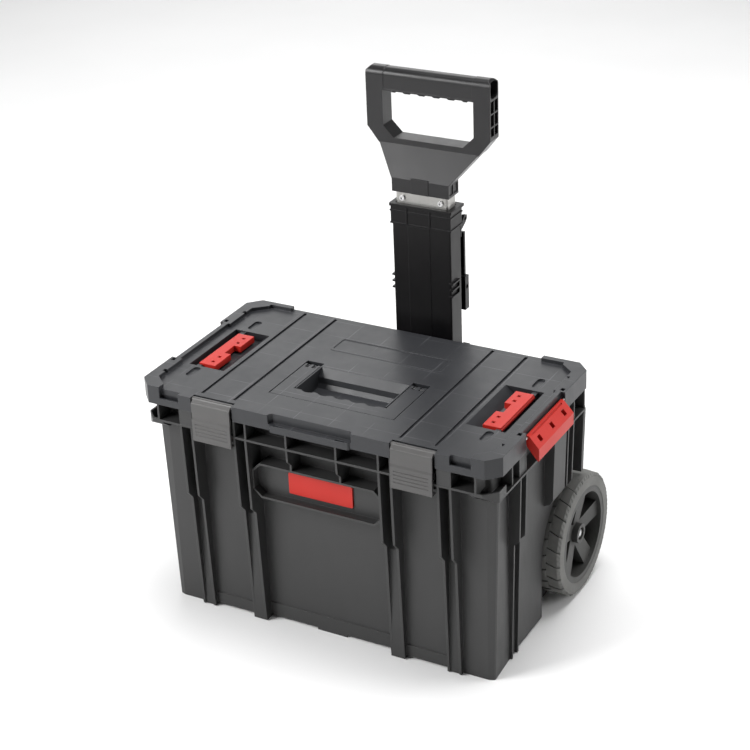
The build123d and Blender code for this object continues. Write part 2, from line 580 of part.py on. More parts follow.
# =====================================================================
# Carry handle
# =====================================================================
CARRY_Z0 = 325.2
CARRY_Z1 = 333.3
carry = block(-91.6, 91.6, -89.8, -66.0, CARRY_Z0, CARRY_Z1)
for k in range(5):
    carry -= rod_z(CARRY_Z0 - 1, CARRY_Z1 + 1, -48 + 24 * k, -66.0 + 9.0, 13.0)
for sign in (-1, 1):
    ends = sorted((sign * 69.0, sign * 91.6))
    arm = block(ends[0], ends[1], -70.0, CARRY_AY, CARRY_Z0, CARRY_Z1)
    arm += rod_x(ends[0], ends[1], CARRY_AY, CARRY_AZ, 4.0)
    arm -= rod_x(ends[0] - 1, ends[1] + 1, CARRY_AY, CARRY_AZ, BORE_R)
    for low, high in ((72.6, 78.4), (82.6, 88.4)):
        gap = sorted((sign * low, sign * high))
        arm -= block(gap[0], gap[1], CARRY_AY - 8.5, CARRY_AY + 9, CARRY_Z0 - 1, CARRY_Z1 + 1)
    carry += arm
save(carry, "carry_handle")

# =====================================================================
# Top locks
# =====================================================================
lock = block(199.6, LOCK_AX, -54.0, 46.0, 324.7, 333.3)
lock += rod_y(-54.0, 46.0, LOCK_AX, LOCK_AZ, 3.9)
lock += block(LOCK_AX - 1, LOCK_AX + 2.4, -54.0, 46.0, LOCK_AZ, 333.3)
lock -= block(199.0, 209.5, -14.5, 10.5, 324.0, 334.0)
lock -= rod_y(-60.0, 60.0, LOCK_AX, LOCK_AZ, BORE_R)
for mid in (34.5, 20.0, -27.5, -43.0):
    lock -= block(207.0, 211.6, mid - 2.3, mid + 2.3, 327.0, 334.0)
lock -= block(201.6, 217.5, -52.0, -17.0, 323.0, 326.5)
lock -= block(201.6, 217.5, 13.0, 44.0, 323.0, 326.5)
save(lock, "top_lock_right")
save(mirrored(lock), "top_lock_left")

# =====================================================================
# Side catches
# =====================================================================
catch_profile = [(258.7, 330.4), (260.0, 331.4), (262.4, 331.4), (264.2, 330.0),
                 (277.4, 315.4), (277.4, 299.0), (275.9, 297.4), (262.6, 313.4),
                 (260.4, 316.0), (259.0, 324.0)]
catch = prism_y(catch_profile, -55.0, 53.0)
catch -= prism_y([(264.6, 320.6), (274.9, 310.4), (274.9, 303.4), (264.0, 316.2)],
                 -52.5, 50.5)
for mid in (-38.0, -1.0, 36.0):
    hole = Box(8.0, 7.5, 20.0)
    catch -= Pos(270.8, mid, 322.0) * (Rot(0, 42, 0) * hole)
groove_cut = Box(2.4, 92.0, 3.4)
catch -= Pos(264.4, -1.0, 330.2) * (Rot(0, 42, 0) * groove_cut)
catch -= rod_y(-60.0, 60.0, CATCH_AX, CATCH_AZ, BORE_R)
save(catch, "side_catch_right")
save(mirrored(catch), "side_catch_left")

# =====================================================================
# Handle rail: the fixed housing screwed to the back of the tub
# =====================================================================
RAIL_X = 47.4
RAIL_T = 3.2
RAIL_TOP = 299.0
rail = block(-RAIL_X - RAIL_T, RAIL_X + RAIL_T, 169.0, 172.2, 8.0, RAIL_TOP)
for sign in (-1, 1):
    ends = sorted((sign * RAIL_X, sign * (RAIL_X + RAIL_T)))
    rail += block(ends[0], ends[1], 169.0, 213.0, 8.0, RAIL_TOP)
    ends = sorted((sign * 41.4, sign * (RAIL_X + RAIL_T)))
    rail += block(ends[0], ends[1], 209.8, 213.0, 8.0, RAIL_TOP)
    ends = sorted((sign * RAIL_X, sign * (RAIL_X + RAIL_T + 0.6)))
    rail += block(ends[0], ends[1], 169.0, 213.0, 287.0, RAIL_TOP)
    ends = sorted((sign * 44.9, sign * RAIL_X))
    rail += block(ends[0], ends[1], 172.0, 180.0, 10.0, 170.0)
    ends = sorted((sign * 51.0, sign * 60.0))
    for base in (28.0, 148.0, 250.0):
        rail += block(ends[0], ends[1], 148.0, 172.2, base, base + 14.0)
        lug = sorted((sign * 47.4, sign * 60.0))
        rail += block(lug[0], lug[1], 169.0, 172.2, base, base + 14.0)
rail += block(-RAIL_X, RAIL_X, 172.0, 213.0, 8.0, 10.8)
for low in (-50.6, -2.0, 46.6):
    rail += prism_x([(169.5, 12), (160, 30), (160, 280), (169.5, 292)], low, low + 4.0)
for sign in (-1, 1):
    for base in (35.0, 155.0, 257.0):
        rail -= rod_y(147.0, 174.0, sign * 55.5, base, 2.15)
save(rail, "handle_rail")

screws = []
for sign in (-1, 1):
    for base in (35.0, 155.0, 257.0):
        screw = rod_y(150.0, 172.25, sign * 55.5, base, 2.1)
        screw += rod_y(172.25, 175.0, sign * 55.5, base, 4.2)
        screw -= prism_y([(sign * 55.5 - 1.8, base - 1.8), (sign * 55.5 + 1.8, base - 1.8),
                          (sign * 55.5 + 1.8, base + 1.8), (sign * 55.5 - 1.8, base + 1.8)],
                         173.4, 176.0)
        screws.append(screw)
save(group(screws), "rail_screws")

# =====================================================================
# Outer sleeve, collar and rear clip
# =====================================================================
sleeve = block(-SLEEVE_X, SLEEVE_X, SLEEVE_Y0, SLEEVE_Y1, SLEEVE_Z0, SLEEVE_Z1)
sleeve = sleeve.fillet(2.0, sleeve.edges().filter_by(Axis.Z))
sleeve += block(-20.5, 13.0, SLEEVE_Y0 - 0.5, SLEEVE_Y0 + 1, SLEEVE_Z0 + 4, SLEEVE_Z1 - 28)
sleeve -= block(-SLEEVE_X + SLEEVE_WALL, SLEEVE_X - SLEEVE_WALL,
                SLEEVE_Y0 + SLEEVE_WALL, SLEEVE_Y1 - SLEEVE_WALL,
                SLEEVE_Z0 - 1, SLEEVE_Z1 + 1)
for level in (384.0, 393.5, 403.0):
    for sign in (-1, 1):
        ends = sorted((sign * (SLEEVE_X - 3), sign * 47.1))
        sleeve += block(ends[0], ends[1], SLEEVE_Y0 - 0.5, SLEEVE_Y0 + 2.0, level, level + 2.2)
        ends = sorted((sign * (SLEEVE_X - 1), sign * 47.1))
        sleeve += block(ends[0], ends[1], SLEEVE_Y0, SLEEVE_Y0 + 22.0, level, level + 2.2)
        if level == 384.0:
            sleeve += block(ends[0], ends[1], SLEEVE_Y0 + 19.5, SLEEVE_Y0 + 22.0,
                            level, level + 21.2)
save(sleeve, "sleeve")

collar = block(-45.6, 45.6, 171.7, 206.0, 481.5, 507.0)
collar += block(-46.6, 46.6, 170.8, 207.0, 481.5, 483.5)
collar += block(-46.6, 46.6, 170.8, 207.0, 499.5, 501.5)
collar += block(-47.4, 47.4, 170.0, 209.5, 507.0, 511.0)
collar = collar.fillet(1.5, collar.edges().filter_by(Axis.Z).group_by(Axis.Y)[0])
for low in (-21.0, 14.0):
    collar += block(low - 1.0, low + 1.0, 170.6, 173.0, 483.0, 508.0)
collar -= block(-44.35, 44.35, 172.4, 204.55, 480.0, 508.05)
collar -= block(-40.3, 40.3, 176.3, 201.2, 480.0, 512.0)
save(collar, "sleeve_collar")

CLIP_Z0 = 348.0
CLIP_MID = 398.0
clip = block(-40.0, 40.0, 222.5, 226.5, CLIP_Z0, 462.0)
clip += block(-26.0, 26.0, SLEEVE_Y1 + 0.05, 223.0, 356.0, 360.0)
clip += block(-26.0, 26.0, SLEEVE_Y1 + 0.05, 223.0, 404.0, 408.0)
clip += block(-26.0, 26.0, SLEEVE_Y1 + 0.05, 223.0, 450.0, 454.0)
clip += block(-30.0, 30.0, SLEEVE_Y1 + 0.05, 207.5, 352.0, 476.0)
for sign in (-1, 1):
    ends = sorted((sign * 30.0, sign * 26.0))
    clip += block(ends[0], ends[1], SLEEVE_Y1 + 0.05, 223.0, 352.0, 458.0)
    ear = prism_x([(SLEEVE_Y1 + 0.05, 470.0), (220.0, 478.0), (225.0, 483.0),
                   (225.0, 488.0), (218.0, 490.0), (208.0, 480.8),
                   (SLEEVE_Y1 + 0.05, 480.8)], 0, 4.0)
    ear -= rod_x(-1, 5, 219.5, 484.0, 2.6)
    ear += block(0, 4.0, SLEEVE_Y1 + 0.05, 207.5, 462.0, 478.0)
    link = sorted((sign * 28.0, sign * 42.0))
    clip += block(link[0], link[1], SLEEVE_Y1 + 0.05, 207.5, 464.0, 476.0)
    clip += Pos(40.0 if sign > 0 else -44.0, 0, 0) * ear
    ends = sorted((sign * 36.0, sign * 40.0))
    clip += block(ends[0], ends[1], 215.5, 226.5, CLIP_Z0, CLIP_MID)
    ends = sorted((sign * 38.5, sign * 44.5))
    edge = block(ends[0], ends[1], 215.5, 226.5, CLIP_Z0, CLIP_MID)
    edge -= rod_x(-50, 50, 221.0, CLIP_MID - 16.0, 3.2)
    clip += edge
save(clip, "sleeve_clip")

# =====================================================================
# Inner tube, its screws and foot
# =====================================================================
tube = block(-TUBE_X, TUBE_X, TUBE_Y0, TUBE_Y1, TUBE_Z0, TUBE_Z1)
tube = tube.fillet(4.0, tube.edges().filter_by(Axis.Z))
inner = block(-TUBE_X + TUBE_WALL, TUBE_X - TUBE_WALL, TUBE_Y0 + TUBE_WALL,
              TUBE_Y1 - TUBE_WALL, TUBE_Z0 - 1, TUBE_Z1 + 1)
tube -= inner.fillet(2.4, inner.edges().filter_by(Axis.Z))
for sign in (-1, 1):
    tube -= rod_y(TUBE_Y0 - 1, TUBE_Y1 + 1, sign * 29.0, 519.0, 2.15)
save(tube, "inner_tube")

tube_screws = []
for sign in (-1, 1):
    for front in (True, False):
        face = TUBE_Y0 if front else TUBE_Y1
        out = -1 if front else 1
        ends = sorted((face + out * 0.02, face + out * 2.4))
        head = rod_y(ends[0], ends[1], sign * 29.0, 519.0, 3.9)
        ends = sorted((face + out * 0.02, face - out * 5.0))
        head += rod_y(ends[0], ends[1], sign * 29.0, 519.0, 2.1)
        ends = sorted((face + out * 1.1, face + out * 3.0))
        head -= rod_y(ends[0], ends[1], sign * 29.0, 519.0, 1.9)
        tube_screws.append(head)
save(group(tube_screws), "tube_screws")

foot = block(-41.4, 41.4, 175.9, 201.6, 184.0, 191.9)
plug = block(-37.8, 37.8, 178.8, 198.7, 191.0, 206.0)
foot += plug.fillet(3.0, plug.edges().filter_by(Axis.Z))
foot -= block(-34.0, 34.0, 182.0, 195.5, 183.0, 207.0)
save(foot, "tube_foot")

# =====================================================================
# Grip: base, flared neck and the open frame with its bar
# =====================================================================
base = block(-43.0, 43.0, 173.0, 202.6, 528.0, 547.0)
base += block(-13.5, 12.5, 172.4, 175.0, 528.0, 549.5)
neck = prism_y([(-43.0, 546.5), (43.0, 546.5), (75.0, 586.0), (75.0, 600.0),
                (-75.0, 600.0), (-75.0, 586.0)], 172.0, GRIP_Y1)
neck -= prism_x([(160, 500), (173.0, 500), (173.0, 547.5), (GRIP_Y0, 585.5),
                 (GRIP_Y0, 620), (160, 620)], -90, 90)
neck -= prism_x([(202.6, 500), (202.6, 547.5), (GRIP_Y1, 585.0), (GRIP_Y1, 620),
                 (240, 620), (240, 500)], -90, 90)
neck -= prism_y([(-90, 592), (90, 592), (90, 620), (-90, 620)], 160, 240)

frame_outer = [(-75.0, 584.5), (75.0, 584.5), (GRIP_X, 606.5), (GRIP_X, 684.5),
               (GRIP_X - 5, GRIP_Z1), (-GRIP_X + 5, GRIP_Z1), (-GRIP_X, 684.5),
               (-GRIP_X, 606.5)]
window = [(-52.0, 593.5), (52.0, 593.5), (68.0, 609.5), (68.0, 659.0), (-68.0, 659.0),
          (-68.0, 609.5)]
grip = prism_y(frame_outer, GRIP_Y0, GRIP_Y1)
top_edges = grip.edges().filter_by(Axis.X).group_by(Axis.Z)[-1]
grip = grip.fillet(10.5, top_edges)
waist = block(-90.0, 90.0, GRIP_Y0 + 0.5, GRIP_Y1 - 0.5, 640.0, GRIP_Z1 - 0.5)
waist = waist.fillet(10.0, waist.edges().filter_by(Axis.X).group_by(Axis.Z)[-1])
grip -= block(-66.0, 66.0, GRIP_Y0 - 1, GRIP_Y1 + 1, 661.0, GRIP_Z1 + 1) - waist
grip -= prism_y(window, GRIP_Y0 - 1, GRIP_Y1 + 1)
grip += neck
grip += base

# open ribbed cells in both ends of the frame and of the base
for sign in (-1, 1):
    ends = sorted((sign * (GRIP_X - 13.0), sign * (GRIP_X + 1)))
    bore = block(ends[0], ends[1], GRIP_Y0 + 2.2, GRIP_Y1 - 2.2, 664.0, 686.6)
    grip -= bore.fillet(6.0, bore.edges().filter_by(Axis.X))
    for low, high in ((644.5, 661.0), (626.5, 642.5), (612.5, 624.5)):
        for y0, y1 in ((GRIP_Y0 + 2.2, 211.9), (214.1, GRIP_Y1 - 2.2)):
            grip -= block(ends[0], ends[1], y0, y1, low, high)
    ends = sorted((sign * 41.6, sign * 44.0))
    grip -= block(ends[0], ends[1], 175.6, 186.9, 531.5, 545.0)
    grip -= block(ends[0], ends[1], 188.9, 200.4, 531.5, 545.0)

# socket for the tube, slot for the release bar
grip -= block(-TUBE_X - 0.05, TUBE_X + 0.05, TUBE_Y0 - 0.05, TUBE_Y1 + 0.05,
              527.0, TUBE_Z1 + 0.05)
grip -= block(-57.0, 57.0, 204.6, 221.4, 655.0, 676.0)
save(grip, "grip")

release = block(-56.4, 56.4, 205.1, 220.9, 655.6, 666.0)
for k in range(5):
    release -= rod_y(204.0, 222.0, -44 + 22 * k, 655.6 - 8.0, 10.5)
for mid in (-40.0, 40.0):
    release += rod_z(665.0, 668.0, mid, 213.0, 2.4)
save(release, "release_bar")


def spring(mid):
    """Compression spring of five turns between the bar and the slot roof."""
    path = Helix(pitch=1.8, height=9.0, radius=4.0)
    start = Plane(origin=path @ 0, z_dir=path % 0)
    coil = sweep(start * Circle(0.4), path=path)
    return Pos(mid, 213.0, 666.1) * coil


spring_left = spring(-40.0)
spring_right = spring(40.0)
springs = group([spring_left, spring_right])
bounds = springs.bounding_box()
springs = group([Pos(0, 0, 666.05 - bounds.min.Z) * spring_left,
                 Pos(0, 0, 666.05 - bounds.min.Z) * spring_right])
save(springs, "release_springs")
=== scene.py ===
import json
import math

import bmesh
import bpy
from mathutils import Matrix, Vector


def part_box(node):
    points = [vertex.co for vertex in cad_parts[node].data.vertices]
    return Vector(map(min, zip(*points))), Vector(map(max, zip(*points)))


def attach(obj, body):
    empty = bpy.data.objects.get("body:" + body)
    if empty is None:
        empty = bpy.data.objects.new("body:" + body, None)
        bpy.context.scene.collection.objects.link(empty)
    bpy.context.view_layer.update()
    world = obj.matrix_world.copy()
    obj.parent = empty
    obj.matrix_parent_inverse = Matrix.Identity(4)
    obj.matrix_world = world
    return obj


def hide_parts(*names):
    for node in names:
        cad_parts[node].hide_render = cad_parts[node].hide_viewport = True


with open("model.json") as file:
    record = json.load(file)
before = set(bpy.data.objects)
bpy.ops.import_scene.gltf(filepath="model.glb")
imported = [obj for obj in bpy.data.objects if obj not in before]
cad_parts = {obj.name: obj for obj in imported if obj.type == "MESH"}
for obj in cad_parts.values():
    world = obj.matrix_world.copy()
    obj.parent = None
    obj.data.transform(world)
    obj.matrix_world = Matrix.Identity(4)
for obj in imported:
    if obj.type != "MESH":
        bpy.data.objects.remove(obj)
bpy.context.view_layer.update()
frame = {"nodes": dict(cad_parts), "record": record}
nodes = frame["nodes"]
scene = bpy.context.scene


# ---------------------------------------------------------------- materials
def tree_of(name):
    """A new material with its Principled shader and the object's own coordinates."""
    mat = bpy.data.materials.new(name)
    mat.use_nodes = True
    tree = mat.node_tree
    shader = tree.nodes["Principled BSDF"]
    coord = tree.nodes.new("ShaderNodeTexCoord")
    return mat, tree, shader, coord.outputs["Object"]


def noise(tree, coord, scale, detail=2.0, rough=0.5, stretch=None):
    """Fractal noise on the object's coordinates, stretched along an axis if asked."""
    if stretch:
        mapping = tree.nodes.new("ShaderNodeMapping")
        mapping.inputs["Scale"].default_value = stretch
        tree.links.new(coord, mapping.inputs["Vector"])
        coord = mapping.outputs["Vector"]
    node = tree.nodes.new("ShaderNodeTexNoise")
    node.inputs["Scale"].default_value = scale
    node.inputs["Detail"].default_value = detail
    node.inputs["Roughness"].default_value = rough
    tree.links.new(coord, node.inputs["Vector"])
    return node.outputs["Fac"]


def spread(tree, value, low, high, to_low, to_high, kind="LINEAR"):
    """Maps a value from one range to another, held inside it."""
    node = tree.nodes.new("ShaderNodeMapRange")
    node.interpolation_type = kind
    node.inputs["From Min"].default_value = low
    node.inputs["From Max"].default_value = high
    node.inputs["To Min"].default_value = to_low
    node.inputs["To Max"].default_value = to_high
    tree.links.new(value, node.inputs["Value"])
    return node.outputs["Result"]


def mixed(tree, factor, a, b):
    """One colour mixed into another; each is a colour or a socket."""
    node = tree.nodes.new("ShaderNodeMix")
    node.data_type = "RGBA"
    tree.links.new(factor, node.inputs["Factor"])
    for value, key in ((a, 6), (b, 7)):
        if isinstance(value, tuple):
            node.inputs[key].default_value = (*value, 1)
        else:
            tree.links.new(value, node.inputs[key])
    return node.outputs[2]


def math_node(tree, operation, a, b=None):
    node = tree.nodes.new("ShaderNodeMath")
    node.operation = operation
    for value, socket in zip((a, b), node.inputs):
        if value is None:
            continue
        if isinstance(value, (int, float)):
            socket.default_value = value
        else:
            tree.links.new(value, socket)
    return node.outputs[0]


def edge_mask(tree, radius):
    """1 on the object's sharp edges and 0 on its flats, and the rounded normal."""
    bevel = tree.nodes.new("ShaderNodeBevel")
    bevel.samples = 6
    bevel.inputs["Radius"].default_value = radius
    geometry = tree.nodes.new("ShaderNodeNewGeometry")
    dot = tree.nodes.new("ShaderNodeVectorMath")
    dot.operation = "DOT_PRODUCT"
    tree.links.new(bevel.outputs["Normal"], dot.inputs[0])
    tree.links.new(geometry.outputs["Normal"], dot.inputs[1])
    mask = spread(tree, dot.outputs["Value"], 0.80, 0.995, 1.0, 0.0)
    return mask, bevel.outputs["Normal"]


def bumped(tree, height, strength, distance, normal=None):
    bump = tree.nodes.new("ShaderNodeBump")
    bump.inputs["Strength"].default_value = strength
    bump.inputs["Distance"].default_value = distance
    tree.links.new(height, bump.inputs["Height"])
    if normal is not None:
        tree.links.new(normal, bump.inputs["Normal"])
    return bump.outputs["Normal"]


def plastic(name, colour, rough, grain=2200.0, grain_depth=0.00005, edge=1.6, lift=0.06,
            level=0.5, edge_radius=0.0007, wear_and_highlight=0.35):
    """Moulded plastic: spark-eroded grain, faint flow mottling, paler edges that are partly
    rubbed wear and partly a painted edge highlight.
    """
    mat, tree, shader, coord = tree_of(name)
    cloud = noise(tree, coord, 9.0, 4.0, 0.6)
    fine = noise(tree, coord, grain, 3.0, 0.6)
    streak = noise(tree, coord, 60.0, 3.0, 0.55, (1.0, 1.0, 0.25))
    pale = tuple(min(1.0, c * (1 + lift) + lift * 0.02) for c in colour)
    deep = tuple(c * (1 - lift) for c in colour)
    base = mixed(tree, spread(tree, cloud, 0.35, 0.65, 0.0, 1.0), deep, pale)
    base = mixed(tree, spread(tree, fine, 0.3, 0.7, 0.0, 0.5), base,
                 tuple(min(1.0, c * 1.18) for c in colour))
    # sharp edges are lightened: partly rubbed wear, partly a painted edge highlight
    mask, round_normal = edge_mask(tree, edge_radius)
    broken = math_node(tree, "MULTIPLY", mask, spread(tree, streak, 0.35, 0.7, 0.35, 1.0))
    worn_and_highlit = math_node(tree, "MULTIPLY", broken, wear_and_highlight)
    base = mixed(tree, worn_and_highlit, base, tuple(min(1.0, c * edge + 0.012) for c in colour))
    tree.links.new(base, shader.inputs["Base Color"])
    sheen = spread(tree, cloud, 0.3, 0.7, rough - 0.05, rough + 0.05)
    sheen = math_node(tree, "ADD", sheen, spread(tree, streak, 0.3, 0.7, -0.03, 0.03))
    tree.links.new(sheen, shader.inputs["Roughness"])
    shader.inputs["Specular IOR Level"].default_value = level
    normal = bumped(tree, fine, 0.35, grain_depth, round_normal)
    tree.links.new(normal, shader.inputs["Normal"])
    return mat


def rubber(name, colour, rough):
    """Matte rubber: dusty mottling and a soft, fine-pored surface."""
    mat, tree, shader, coord = tree_of(name)
    dust = noise(tree, coord, 26.0, 6.0, 0.65)
    pores = noise(tree, coord, 1500.0, 3.0, 0.6)
    base = mixed(tree, spread(tree, dust, 0.4, 0.68, 0.0, 1.0),
                 tuple(c * 0.9 for c in colour), tuple(c * 1.25 + 0.004 for c in colour))
    mask, round_normal = edge_mask(tree, 0.0006)
    # sharp edges are lightened: partly scuffed wear, partly a painted edge highlight
    base = mixed(tree, math_node(tree, "MULTIPLY", mask, 0.35), base,
                 tuple(c * 1.7 + 0.01 for c in colour))
    tree.links.new(base, shader.inputs["Base Color"])
    tree.links.new(spread(tree, dust, 0.3, 0.7, rough - 0.06, rough + 0.06),
                   shader.inputs["Roughness"])
    shader.inputs["Specular IOR Level"].default_value = 0.4
    tree.links.new(bumped(tree, pores, 0.4, 0.00008, round_normal), shader.inputs["Normal"])
    return mat


def metal(name, colour, rough, stretch, grain=600.0, depth=0.00003):
    """Metal with fine drawn or turned lines along one axis."""
    mat, tree, shader, coord = tree_of(name)
    lines = noise(tree, coord, grain, 4.0, 0.7, stretch)
    stain = noise(tree, coord, 30.0, 4.0, 0.6)
    base = mixed(tree, spread(tree, stain, 0.35, 0.65, 0.0, 1.0),
                 tuple(c * 0.86 for c in colour), colour)
    base = mixed(tree, spread(tree, lines, 0.35, 0.65, 0.0, 0.5), base,
                 tuple(min(1.0, c * 1.08) for c in colour))
    tree.links.new(base, shader.inputs["Base Color"])
    shader.inputs["Metallic"].default_value = 1.0
    tree.links.new(spread(tree, lines, 0.3, 0.7, rough - 0.07, rough + 0.07),
                   shader.inputs["Roughness"])
    _, round_normal = edge_mask(tree, 0.0003)
    tree.links.new(bumped(tree, lines, 0.3, depth, round_normal), shader.inputs["Normal"])
    return mat


def deck_lines(tree, coord, shader):
    """Faint moulding lines in a grid on the upward faces, added to the lid's finish."""
    split = tree.nodes.new("ShaderNodeSeparateXYZ")
    tree.links.new(coord, split.inputs[0])
    lines = None
    for axis, pitch, offset in ((0, 0.0505, 0.0110), (1, 0.0430, 0.0040)):
        shifted = math_node(tree, "ADD", split.outputs[axis], 1.0 + offset)
        phase = math_node(tree, "FRACT", math_node(tree, "DIVIDE", shifted, pitch))
        near = math_node(tree, "ABSOLUTE", math_node(tree, "SUBTRACT", phase, 0.5))
        line = spread(tree, near, 0.0, 0.020, 1.0, 0.0)
        lines = line if lines is None else math_node(tree, "MAXIMUM", lines, line)
    geometry = tree.nodes.new("ShaderNodeNewGeometry")
    facing = tree.nodes.new("ShaderNodeSeparateXYZ")
    tree.links.new(geometry.outputs["Normal"], facing.inputs[0])
    upward = spread(tree, facing.outputs[2], 0.9, 0.99, 0.0, 1.0)
    patchy = spread(tree, noise(tree, coord, 22.0, 3.0), 0.40, 0.62, 0.0, 1.0)
    mask = math_node(tree, "MULTIPLY", math_node(tree, "MULTIPLY", lines, upward), patchy)
    old = shader.inputs["Base Color"].links[0].from_socket
    shown = mixed(tree, math_node(tree, "MULTIPLY", mask, 0.8), old, (0.100, 0.101, 0.108))
    tree.links.new(shown, shader.inputs["Base Color"])
    old_normal = shader.inputs["Normal"].links[0].from_socket
    tree.links.new(bumped(tree, mask, 0.5, 0.0002, old_normal), shader.inputs["Normal"])


FINISHES = {
    "tub_plastic": plastic("tub_plastic", (0.030, 0.030, 0.030), 0.47, level=0.42,
                           edge=3.0, wear_and_highlight=0.6),
    "lid_plastic": plastic("lid_plastic", (0.024, 0.025, 0.028), 0.38, level=0.40,
                           edge=3.0, wear_and_highlight=0.6),
    "latch_plastic": plastic("latch_plastic", (0.066, 0.064, 0.063), 0.38, level=0.55,
                             edge=1.8),
    "red_plastic": plastic("red_plastic", (0.45, 0.018, 0.011), 0.40, level=0.30,
                           edge=1.2, lift=0.05, wear_and_highlight=0.5),
    "handle_plastic": plastic("handle_plastic", (0.0036, 0.0033, 0.0038), 0.36, level=0.24,
                              edge=6.0, wear_and_highlight=0.8),
    "grip_plastic": plastic("grip_plastic", (0.0090, 0.0086, 0.0095), 0.36, level=0.42,
                            edge=3.5, wear_and_highlight=0.6),
    "wheel_plastic": plastic("wheel_plastic", (0.042, 0.042, 0.040), 0.52, level=0.4,
                             edge=1.9),
    "tyre_rubber": rubber("tyre_rubber", (0.120, 0.120, 0.114), 0.70),
    "seal_rubber": rubber("seal_rubber", (0.012, 0.012, 0.012), 0.7),
    "steel": metal("steel", (0.62, 0.62, 0.62), 0.34, (1.0, 1.0, 0.1)),
    "aluminium": metal("aluminium", (0.43, 0.425, 0.41), 0.45, (1.0, 1.0, 0.04)),
}
lid_mat = FINISHES["lid_plastic"]
lid_tree = lid_mat.node_tree
deck_lines(lid_tree, lid_tree.nodes["Texture Coordinate"].outputs["Object"],
           lid_tree.nodes["Principled BSDF"])

slot_of = {row["node"]: row["material_slot"] for row in frame["record"]["subparts"]}


def finish_node(name):
    """Gives a CAD node its slot's finish in place of the imported material."""
    mesh = nodes[name].data
    mesh.materials.clear()
    mesh.materials.append(FINISHES[slot_of[name]])


for node_name in nodes:
    finish_node(node_name)


# ---------------------------------------------------------------- tyres
tyre_low, tyre_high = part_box("wheel_tyre_right")
rim_low, rim_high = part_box("wheel_rim_right")
AXLE = Vector((0.0, (tyre_low[1] + tyre_high[1]) / 2, (tyre_low[2] + tyre_high[2]) / 2))
TYRE_IN = tyre_low[0]
TYRE_OUT = tyre_high[0]
TYRE_R = (tyre_high[2] - tyre_low[2]) / 2
TYRE_SEAT = (rim_high[2] - rim_low[2]) / 2
BLOCKS = 24            # tread blocks in each of the two rows
GROOVE = 0.0040        # depth of the grooves between them
SCALLOP = 0.0016       # depth of the waves along the shoulder
BLOCK_STEP = 0.0012    # fall of each block from its front to its back edge
CROWN = 0.0007         # rise of the tread from shoulder to middle
SLANT = 0.30           # how far a groove leans across its row, in blocks


def tyre_rings():
    """The tyre's section as (x, radius, row, share of groove depth, scallop) rings."""
    mid = (TYRE_IN + TYRE_OUT) / 2
    rings = [(TYRE_IN, TYRE_SEAT, -1, 0, 0), (TYRE_IN, TYRE_R - 0.0080, -1, 0, 0),
             (TYRE_IN + 0.0003, TYRE_R - 0.0040, -1, 0.35, 0.6),
             (TYRE_IN + 0.0016, TYRE_R - 0.0018, -1, 1, 1)]
    for step in range(5):
        share = step / 4
        rings.append((TYRE_IN + 0.0034 + share * (mid - 0.0003 - TYRE_IN - 0.0034),
                      TYRE_R - CROWN + CROWN * math.sin(share * math.pi / 2), -1, 1, 0))
    for step in range(5):
        share = 1 - step / 4
        rings.append((TYRE_OUT - 0.0034 - share * (TYRE_OUT - 0.0034 - mid - 0.0003),
                      TYRE_R - CROWN + CROWN * math.sin(share * math.pi / 2), 1, 1, 0))
    rings += [(TYRE_OUT - 0.0016, TYRE_R - 0.0018, 1, 1, 1),
              (TYRE_OUT - 0.0003, TYRE_R - 0.0040, 1, 0.35, 0.6),
              (TYRE_OUT - 0.0001, TYRE_R - 0.0052, 1, 0, 0.2),
              (TYRE_OUT - 0.0006, TYRE_R - 0.0066, 1, 0, 0),
              (TYRE_OUT - 0.0003, TYRE_R - 0.0080, 1, 0, 0),
              (TYRE_OUT, TYRE_SEAT + 0.0030, 1, 0, 0),
              (TYRE_OUT, TYRE_SEAT, 1, 0, 0)]
    return rings, mid


def tyre_mesh(side):
    """Tyre with two offset rows of slanted tread blocks and a scalloped side edge."""
    pitch = 2 * math.pi / BLOCKS
    local = [(0.0, False), (0.012, True), (0.058, True), (0.070, False), (0.16, False),
             (0.24, False), (0.32, False), (0.41, False)]
    spots = [(t, "right" if deep else "") for t, deep in local]
    spots += [(t + 0.5, "left" if deep else "") for t, deep in local]
    rings, mid = tyre_rings()
    verts, faces = [], []
    count = len(spots) * BLOCKS
    for x, radius, row, depth, scallop in rings:
        slant = SLANT * pitch * abs(x - mid) / (TYRE_OUT - mid)
        for block in range(BLOCKS):
            for share, cut in spots:
                angle = (block + share) * pitch + slant
                wave = 0.5 - 0.5 * math.cos(6 * math.pi * (share - 0.035))
                r = radius - SCALLOP * scallop * (1 - wave)
                if row > 0:
                    tilt = (share - 0.07) % 1.0
                    sunk = cut == "right"
                else:
                    tilt = (share - 0.57) % 1.0
                    sunk = cut == "left"
                r -= BLOCK_STEP * depth * tilt
                if sunk:
                    r -= GROOVE * depth
                verts.append((side * x, AXLE.y + r * math.cos(angle),
                              AXLE.z + r * math.sin(angle)))
    loops = len(rings)
    for ring in range(loops):
        after = (ring + 1) % loops
        for i in range(count):
            j = (i + 1) % count
            quad = (ring * count + i, ring * count + j, after * count + j, after * count + i)
            faces.append(quad if side > 0 else quad[::-1])
    mesh = bpy.data.meshes.new("tyre")
    mesh.from_pydata(verts, [], faces)
    work = bmesh.new()
    work.from_mesh(mesh)
    bmesh.ops.recalc_face_normals(work, faces=work.faces)
    work.to_mesh(mesh)
    work.free()
    return mesh


def tyre(side, word):
    mesh = tyre_mesh(side)
    mesh.materials.append(FINISHES["tyre_rubber"])
    obj = bpy.data.objects.new("tyre_tread_" + word, mesh)
    scene.collection.objects.link(obj)
    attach(obj, "wheel_" + word)
    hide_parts("wheel_tyre_" + word)


tyre(1, "right")
tyre(-1, "left")


